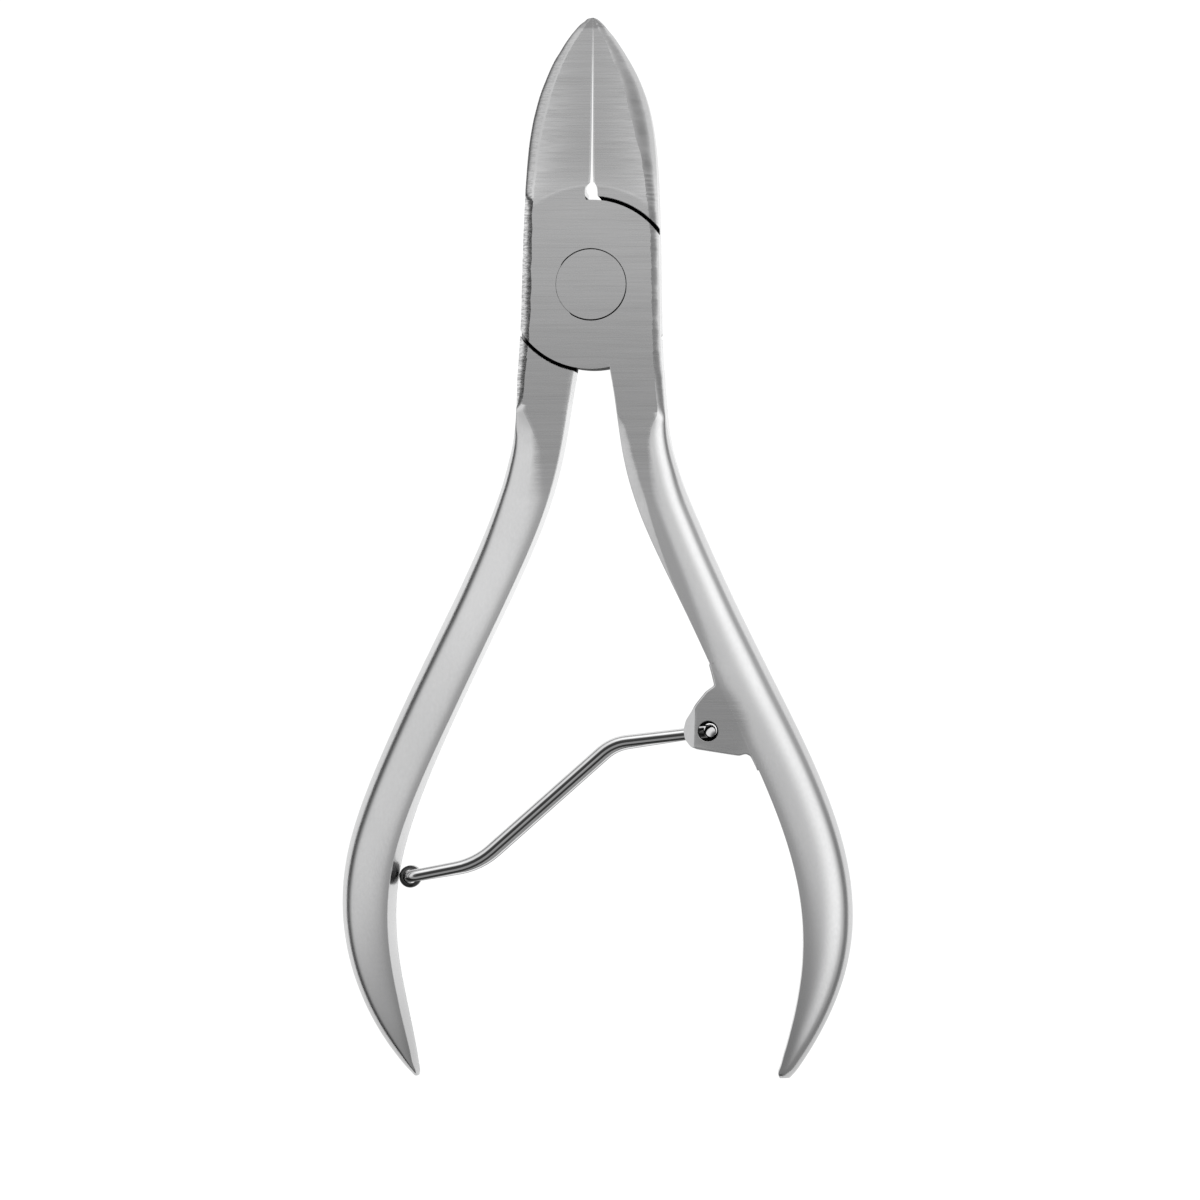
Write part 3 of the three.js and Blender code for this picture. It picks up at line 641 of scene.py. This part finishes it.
def math_node(nt, op, a, b=None, clamp=False):
    n = nt.nodes.new("ShaderNodeMath")
    n.operation = op
    n.use_clamp = clamp
    for i, v in enumerate((a, b)):
        if v is None:
            continue
        if isinstance(v, (int, float)):
            n.inputs[i].default_value = v
        else:
            nt.links.new(v, n.inputs[i])
    return n.outputs[0]


def noise(nt, vec, scale, detail=2.0, rough=0.5, mapping=(1, 1, 1), rot=(0, 0, 0)):
    mp = nt.nodes.new("ShaderNodeMapping")
    mp.inputs["Scale"].default_value = mapping
    mp.inputs["Rotation"].default_value = rot
    nt.links.new(vec, mp.inputs["Vector"])
    n = nt.nodes.new("ShaderNodeTexNoise")
    n.inputs["Scale"].default_value = scale
    n.inputs["Detail"].default_value = detail
    n.inputs["Roughness"].default_value = rough
    nt.links.new(mp.outputs[0], n.inputs["Vector"])
    return n.outputs["Fac"]


def map_range(nt, v, a, b, c, d, smooth_step=False):
    n = nt.nodes.new("ShaderNodeMapRange")
    n.interpolation_type = "SMOOTHSTEP" if smooth_step else "LINEAR"
    for i, x in zip((1, 2, 3, 4), (a, b, c, d)):
        n.inputs[i].default_value = x
    nt.links.new(v, n.inputs[0])
    return n.outputs[0]


def mix(nt, fac, a, b):
    n = nt.nodes.new("ShaderNodeMix")
    n.data_type = "FLOAT"
    nt.links.new(fac, n.inputs[0])
    for i, v in ((2, a), (3, b)):
        if isinstance(v, (int, float)):
            n.inputs[i].default_value = v
        else:
            nt.links.new(v, n.inputs[i])
    return n.outputs[0]


def grey(nt, v, tint=(1.0, 1.0, 1.005)):
    n = nt.nodes.new("ShaderNodeCombineColor")
    for i, k in enumerate(tint):
        nt.links.new(math_node(nt, "MULTIPLY", v, k), n.inputs[i])
    return n.outputs[0]


def lever_steel(name="lever_steel_fine"):
    mat = bpy.data.materials.new(name)
    nt, bs = nodes_of(mat)
    tc = nt.nodes.new("ShaderNodeTexCoord")
    obj, nrm = tc.outputs["Object"], tc.outputs["Normal"]
    sx = nt.nodes.new("ShaderNodeSeparateXYZ")
    nt.links.new(nrm, sx.inputs[0])
    sp = nt.nodes.new("ShaderNodeSeparateXYZ")
    nt.links.new(obj, sp.inputs[0])
    flat = map_range(nt, math_node(nt, "ABSOLUTE", sx.outputs[2]), 0.985, 0.998, 0, 1, True)
    high = map_range(nt, sp.outputs[1], -0.024, -0.016, 0, 1, True)
    to_hub = nt.nodes.new("ShaderNodeVectorMath")
    to_hub.operation = "DISTANCE"
    nt.links.new(obj, to_hub.inputs[0])
    to_hub.inputs[1].default_value = (11.2 * MM, -43.9 * MM, T * MM)
    high = math_node(nt, "MAXIMUM", high, map_range(nt, to_hub.outputs["Value"], 0.0034, 0.0052, 0.9, 0, True))
    brushed = math_node(nt, "MULTIPLY", flat, high)
    # brush lines across the joint and the blades
    fine = noise(nt, obj, 1.0, 3, 0.6, (150, 6500, 6500))
    broad = noise(nt, obj, 1.0, 2, 0.5, (70, 1700, 1700), (0, 0, 0.01))
    lines = math_node(nt, "ADD", math_node(nt, "MULTIPLY", fine, 0.65), math_node(nt, "MULTIPLY", broad, 0.35))
    # satin grain elsewhere
    grain = noise(nt, obj, 1.0, 2, 0.5, (5200, 2600, 5200))
    cloud = noise(nt, obj, 1.0, 3, 0.5, (260, 110, 260))
    satin = math_node(nt, "ADD", math_node(nt, "MULTIPLY", grain, 0.5), math_node(nt, "MULTIPLY", cloud, 0.5))
    v_b = map_range(nt, lines, 0.32, 0.68, 0.55, 0.74)
    v_s = map_range(nt, satin, 0.3, 0.7, 0.64, 0.69)
    val = mix(nt, brushed, v_s, v_b)
    # painted shade: the brushed joint is darkened towards the handles, and the blades past y = 12.5 mm are darkened as
    # well
    painted_joint_shade = map_range(nt, sp.outputs[1], -0.0125, 0.0065, 0.80, 1.03, True)
    val = math_node(nt, "MULTIPLY", val, mix(nt, brushed, 1.0, painted_joint_shade))
    val = math_node(nt, "MULTIPLY", val, map_range(nt, sp.outputs[1], 0.0085, 0.0125, 1.0, 0.82, True))
    # the hand-ground bevels of the joint and the blades are uneven
    bevel = math_node(nt, "MULTIPLY", map_range(nt, math_node(nt, "ABSOLUTE", sx.outputs[2]), 0.97, 0.9, 0, 1, True), map_range(nt, sp.outputs[1], -0.0125, -0.0105, 0, 1, True))
    speck = noise(nt, obj, 1.0, 4, 0.65, (1200, 6000, 1200))
    left_bevel = math_node(nt, "MULTIPLY", map_range(nt, sp.outputs[0], -0.0025, -0.0015, 0.8, 0.15), map_range(nt, sp.outputs[1], 0.0075, 0.0115, 1, 0.35, True))
    val = math_node(nt, "MULTIPLY", val, mix(nt, math_node(nt, "MULTIPLY", bevel, left_bevel), 1.0, map_range(nt, speck, 0.4, 0.6, 0.45, 1.15, True)))
    # painted shade: the handles are darkened a little towards their ends, where the studio light falls off
    val = math_node(nt, "MULTIPLY", val, map_range(nt, sp.outputs[1], -0.044, -0.031, 0.9, 1.0, True))
    val = math_node(nt, "MULTIPLY", val, map_range(nt, sp.outputs[1], -0.077, -0.063, 0.78, 1.0, True))
    # painted shade at the very tip: a darker patch with a ragged edge, standing in for the shading of the ground facet
    # there
    tip_noise = noise(nt, obj, 1.0, 3, 0.6, (900, 2600, 900))
    tip_y = math_node(nt, "ADD", sp.outputs[1], math_node(nt, "MULTIPLY", tip_noise, 0.0006))
    painted_tip_shade = map_range(nt, tip_y, 0.02555, 0.02585, 0, 1, True)
    # painted shade: the tip's base colour is darkened
    val = math_node(nt, "MULTIPLY", val, map_range(nt, painted_tip_shade, 0, 1, 1.0, 0.72))
    # painted shade in the lap gaps, the spring hole and its slot, and round the rivet seat: coloured almost black where
    # shade falls, with higher roughness
    flat_xy = nt.nodes.new("ShaderNodeVectorMath")
    flat_xy.operation = "MULTIPLY"
    nt.links.new(obj, flat_xy.inputs[0])
    flat_xy.inputs[1].default_value = (1, 1, 0)

    def distance(centre):
        n = nt.nodes.new("ShaderNodeVectorMath")
        n.operation = "DISTANCE"
        nt.links.new(flat_xy.outputs[0], n.inputs[0])
        n.inputs[1].default_value = (centre[0] * MM, centre[1] * MM, 0)
        return n.outputs["Value"]

    def product(*terms):
        out = terms[0]
        for t in terms[1:]:
            out = math_node(nt, "MULTIPLY", out, t)
        return out
    depth = math_node(nt, "ABSOLUTE", math_node(nt, "SUBTRACT", sp.outputs[2], MID * MM))
    away = math_node(nt, "ABSOLUTE", sp.outputs[0])
    rad = distance((0, 0))
    upper = map_range(nt, sp.outputs[2], (MID - 0.01) * MM, (MID + 0.01) * MM, -1, 1)
    quarter = map_range(nt, product(sp.outputs[0], sp.outputs[1], upper), -1e-8, 1e-8, 0, 1)
    sector = math_node(nt, "MAXIMUM", quarter, math_node(nt, "MAXIMUM", map_range(nt, away, 0.002, 0.0022, 1, 0), map_range(nt, depth, 0.00006, 0.00008, 1, 0)))
    ring = product(sector, map_range(nt, rad, 0.00832, 0.008345, 0, 1), map_range(nt, rad, 0.00873, 0.00878, 1, 0), map_range(nt, depth, 0.00271, 0.00277, 1, 0), map_range(nt, away, 0.0066, 0.0069, 1, 0))
    hub = distance(LUG_HOLE)
    bore = product(map_range(nt, hub, 0.00101, 0.00103, 1, 0), map_range(nt, depth, 0.00258, 0.00264, 1, 0))
    slot_dark = product(map_range(nt, hub, 0.0028, 0.0032, 1, 0), map_range(nt, depth, 0.00137, 0.0014, 1, 0), map_range(nt, sp.outputs[0], 0.0129, 0.01295, 1, 0))
    seat = product(map_range(nt, rad, 0.00347, 0.003478, 0, 1), map_range(nt, rad, 0.00362, 0.00364, 1, 0), map_range(nt, depth, 0.002785, 0.002795, 1, 0))
    gap_shade_mask = math_node(nt, "MAXIMUM", math_node(nt, "MAXIMUM", ring, seat), math_node(nt, "MAXIMUM", bore, slot_dark))
    # painted shade: the gaps, the bore, the slot and the seat line are coloured almost black
    val = mix(nt, gap_shade_mask, val, 0.012)
    nt.links.new(grey(nt, val), bs.inputs["Base Color"])
    bs.inputs["Metallic"].default_value = 1.0
    r_b = map_range(nt, lines, 0.3, 0.7, 0.30, 0.22)
    r_s = map_range(nt, satin, 0.3, 0.7, 0.22, 0.18)
    rough = mix(nt, brushed, r_s, r_b)
    nt.links.new(mix(nt, gap_shade_mask, rough, 0.7), bs.inputs["Roughness"])
    h = mix(nt, brushed, math_node(nt, "MULTIPLY", satin, 0.35), lines)
    bump = nt.nodes.new("ShaderNodeBump")
    bump.inputs["Strength"].default_value = 0.35
    bump.inputs["Distance"].default_value = 0.000012
    nt.links.new(h, bump.inputs["Height"])
    nt.links.new(bump.outputs[0], bs.inputs["Normal"])
    return mat


def polished_steel(name, base, rough, painted_bands=False):
    mat = bpy.data.materials.new(name)
    nt, bs = nodes_of(mat)
    tc = nt.nodes.new("ShaderNodeTexCoord")
    f = noise(nt, tc.outputs["Object"], 1.0, 3, 0.5, (900, 900, 900))
    v = map_range(nt, f, 0.3, 0.7, base * 0.94, base * 1.03)
    if painted_bands:
        # painted reflection: a dark band along the front and back faces, standing in for the dark camera opening
        # mirrored there; painted shade along the side facing -Y, for the dark gap and shadow between the legs
        sx = nt.nodes.new("ShaderNodeSeparateXYZ")
        nt.links.new(tc.outputs["Normal"], sx.inputs[0])
        sp = nt.nodes.new("ShaderNodeSeparateXYZ")
        nt.links.new(tc.outputs["Object"], sp.inputs[0])
        painted_core_reflection = map_range(nt, math_node(nt, "ABSOLUTE", sx.outputs[2]), 0.95, 0.985, 1.0, 0.15, True)
        front = map_range(nt, sp.outputs[2], (MID - 0.3) * MM, (MID + 0.3) * MM, 0, 1)
        steep = math_node(nt, "ABSOLUTE", sx.outputs[2])
        side_on = math_node(nt, "MAXIMUM", math_node(nt, "MULTIPLY", front, map_range(nt, steep, 0.88, 0.72, 0, 1, True)), map_range(nt, steep, 0.5, 0.35, 0, 1, True))
        painted_under_shade = math_node(nt, "MULTIPLY", side_on, map_range(nt, sx.outputs[1], -0.15, -0.3, 0, 0.96, True))
        # painted reflection and painted shade darken the base colour here
        v = math_node(nt, "MULTIPLY", v, math_node(nt, "MULTIPLY", painted_core_reflection, math_node(nt, "SUBTRACT", 1.0, painted_under_shade)))
    nt.links.new(grey(nt, v), bs.inputs["Base Color"])
    bs.inputs["Metallic"].default_value = 1.0
    nt.links.new(map_range(nt, f, 0.3, 0.7, rough * 0.85, rough * 1.2), bs.inputs["Roughness"])
    return mat


# ------------------------------------------------------------------ build
front, back, riv, wir, rol = lever_front(), lever_back(), rivet(), wire(), roller()


def finish_mesh(ob, angle=30.0, weighted=True):
    me = ob.data
    bm = bmesh.new()
    bm.from_mesh(me)
    bmesh.ops.remove_doubles(bm, verts=bm.verts, dist=2e-6)
    bmesh.ops.dissolve_degenerate(bm, edges=bm.edges, dist=1e-6)
    bmesh.ops.recalc_face_normals(bm, faces=bm.faces)
    lim = math.radians(angle)
    for e in bm.edges:
        e.smooth = not (len(e.link_faces) != 2 or e.calc_face_angle(0) > lim)
    for f in bm.faces:
        f.smooth = True
    bm.to_mesh(me)
    bm.free()
    me.update()
    if weighted:
        mod = ob.modifiers.new("wn", "WEIGHTED_NORMAL")
        mod.mode = "FACE_AREA"
        mod.weight = 60
        mod.keep_sharp = True
        dg = bpy.context.evaluated_depsgraph_get()
        new = bpy.data.meshes.new_from_object(ob.evaluated_get(dg))
        ob.modifiers.clear()
        ob.data = new
        bpy.data.meshes.remove(me)
    return ob


steel = lever_steel()
rivet_mat = lever_steel("rivet_steel_fine")
# the wire's material carries the painted reflection and painted shade bands
wire_mat = polished_steel("wire_steel_fine", 0.7, 0.09, True)
roller_mat = polished_steel("roller_steel_fine", 0.09, 0.16)
for ob, mat, ang in ((front, steel, 28), (back, steel, 28), (riv, rivet_mat, 25), (wir, wire_mat, 50), (rol, roller_mat, 40)):
    finish_mesh(ob, ang)
    ob.data.materials.clear()
    ob.data.materials.append(mat)

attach(front, "front_lever")
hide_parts("lever_front")
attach(back, "back_lever")
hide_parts("lever_back")
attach(riv, "back_lever")
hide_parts("pivot_rivet")
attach(wir, "spring")
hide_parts("spring_wire")
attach(rol, "roller")
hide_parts("spring_roller")

# ------------------------------------------------------------------ floor, light, camera
me = bpy.data.meshes.new("floor")
s = 3.0
me.from_pydata([(-s, -s, 0), (s, -s, 0), (s, s, 0), (-s, s, 0)], [], [(0, 1, 2, 3)])
floor = bpy.data.objects.new("floor", me)
bpy.context.scene.collection.objects.link(floor)
floor.location = (0, 0, -0.00005)
mat = bpy.data.materials.new("floor_white")
nt, bs = nodes_of(mat)
bs.inputs["Base Color"].default_value = (0.12, 0.12, 0.12, 1)
bs.inputs["Roughness"].default_value = 0.9
bs.inputs["Specular IOR Level"].default_value = 0.0
bs.inputs["Emission Color"].default_value = (1, 1, 1, 1)
bs.inputs["Emission Strength"].default_value = 1.0
floor.data.materials.append(mat)

world = bpy.data.worlds.new("studio")
bpy.context.scene.world = world
world.use_nodes = True
wt = world.node_tree
wt.nodes.clear()
wout = wt.nodes.new("ShaderNodeOutputWorld")
bg = wt.nodes.new("ShaderNodeBackground")
wt.links.new(bg.outputs[0], wout.inputs[0])
wtc = wt.nodes.new("ShaderNodeTexCoord")
dirn = wtc.outputs["Generated"]


def dot(vec):
    v = Vector(vec).normalized()
    n = wt.nodes.new("ShaderNodeVectorMath")
    n.operation = "DOT_PRODUCT"
    nrmz = wt.nodes.new("ShaderNodeVectorMath")
    nrmz.operation = "NORMALIZE"
    wt.links.new(dirn, nrmz.inputs[0])
    wt.links.new(nrmz.outputs[0], n.inputs[0])
    n.inputs[1].default_value = v
    return math_node(wt, "ARCCOSINE", n.outputs["Value"])


def lobe(vec, r0, r1):
    """1 within r0 degrees of vec, 0 past r1"""
    return map_range(wt, dot(vec), math.radians(r0), math.radians(r1), 1, 0, True)


def towards(az, ze):
    a, z = math.radians(az), math.radians(ze)
    return (math.sin(z) * math.cos(a), math.sin(z) * math.sin(a), math.cos(z))


nrmd = wt.nodes.new("ShaderNodeVectorMath")
nrmd.operation = "NORMALIZE"
wt.links.new(dirn, nrmd.inputs[0])
sxyz = wt.nodes.new("ShaderNodeSeparateXYZ")
wt.links.new(nrmd.outputs[0], sxyz.inputs[0])
dx, dy, dz = sxyz.outputs


def M(op, a, b=None, clamp=False):
    return math_node(wt, op, a, b, clamp)


def R(v, a, b, c, d, sm=True):
    return map_range(wt, v, a, b, c, d, sm)


ze = M("MULTIPLY", M("ARCCOSINE", dz), 180 / math.pi)
rho = M("MAXIMUM", M("SQRT", M("ADD", M("MULTIPLY", dx, dx), M("MULTIPLY", dy, dy))), 1e-4)
cx, cy = M("DIVIDE", dx, rho), M("DIVIDE", dy, rho)
az = M("MULTIPLY", M("ARCTAN2", dy, dx), 180 / math.pi)
# broad dome: bright on the left and above, duller to the right and below
left = R(cx, -0.2, -0.9, 0, 1)
dome = M("ADD", 0.80, M("MULTIPLY", left, 0.17))
above = R(cy, 0.4, 1.0, 0, 1)
dome = M("ADD", dome, M("MULTIPLY", above, 0.15))
fall_l = M("MULTIPLY", R(cy, 0.35, 0.0, 1.0, 0.94, False), R(cy, -0.1, -0.7, 1.0, 0.4, False))
fall_r = R(cy, -0.1, -0.75, 1.0, 0.45, False)
dome = M("MULTIPLY", dome, M("ADD", fall_r, M("MULTIPLY", left, M("SUBTRACT", fall_l, fall_r))))
# bright soft panel on the right, carried round above
window = M("MULTIPLY", R(az, -55, -30, 0, 1), R(az, 95, 130, 1, 0))
zs = M("SUBTRACT", ze, M("MULTIPLY", M("SUBTRACT", az, 10.0), 0.12))
band = M("MULTIPLY", R(zs, 20, 42, 0, 1), R(zs, 51, 62, 1, 0))
panel = M("MULTIPLY", M("MULTIPLY", window, band), 0.66)
dome = M("ADD", dome, panel)
# dark gap over the right panel's foot and the dark surround near the horizon
gap_r = M("MULTIPLY", M("MULTIPLY", R(az, -45, -15, 0, 1), R(az, 8, 34, 1, 0.35)), M("MULTIPLY", R(ze, 62, 69, 0, 1), R(ze, 80, 88, 1, 0.4)))
dome = M("MULTIPLY", dome, M("SUBTRACT", 1.0, M("MULTIPLY", gap_r, 0.68)))
low_l = M("MULTIPLY", R(cy, 0.85, 0.5, 0, 1), R(ze, 64, 77, 0, 1))
not_right = R(cx, 0.5, 0.0, 0, 1)
dome = M("MULTIPLY", dome, M("SUBTRACT", 1.0, M("MULTIPLY", M("MULTIPLY", low_l, not_right), 0.9)))
# the dark camera opening round the zenith
ex = M("DIVIDE", M("SUBTRACT", dx, -0.085), 0.105)
ey = M("DIVIDE", M("SUBTRACT", dy, 0.03), 0.26)
q = M("SQRT", M("ADD", M("MULTIPLY", ex, ex), M("MULTIPLY", ey, ey)))
hole = M("MULTIPLY", R(q, 0.45, 1.55, 1, 0), R(dz, 0.0, 0.1, 0, 1))
total = M("ADD", M("MULTIPLY", dome, M("SUBTRACT", 1.0, hole)), M("MULTIPLY", hole, 0.37))
total = M("MAXIMUM", total, 0.04)
wt.links.new(total, bg.inputs["Strength"])
bg.inputs["Color"].default_value = (1, 1, 1, 1)

DIST = 0.55
ROLL = math.radians(4.0)
target = Vector((0.77 * MM, -31.2 * MM, 3.5 * MM))
cam_data = bpy.data.cameras.new("camera")
cam = bpy.data.objects.new("camera", cam_data)
bpy.context.scene.collection.objects.link(cam)
cam.location = target + Vector((math.sin(ROLL) * DIST, 0, math.cos(ROLL) * DIST))
cam.rotation_euler = (0, ROLL, 0)
cam_data.sensor_width = 36
cam_data.lens = 36 * DIST / (119 * MM) * 1.0
cam_data.clip_start = 0.01
bpy.context.scene.camera = cam
sc = bpy.context.scene
sc.view_settings.view_transform = "Standard"
sc.view_settings.look = "None"
sc.view_settings.exposure = 0
sc.view_settings.gamma = 1
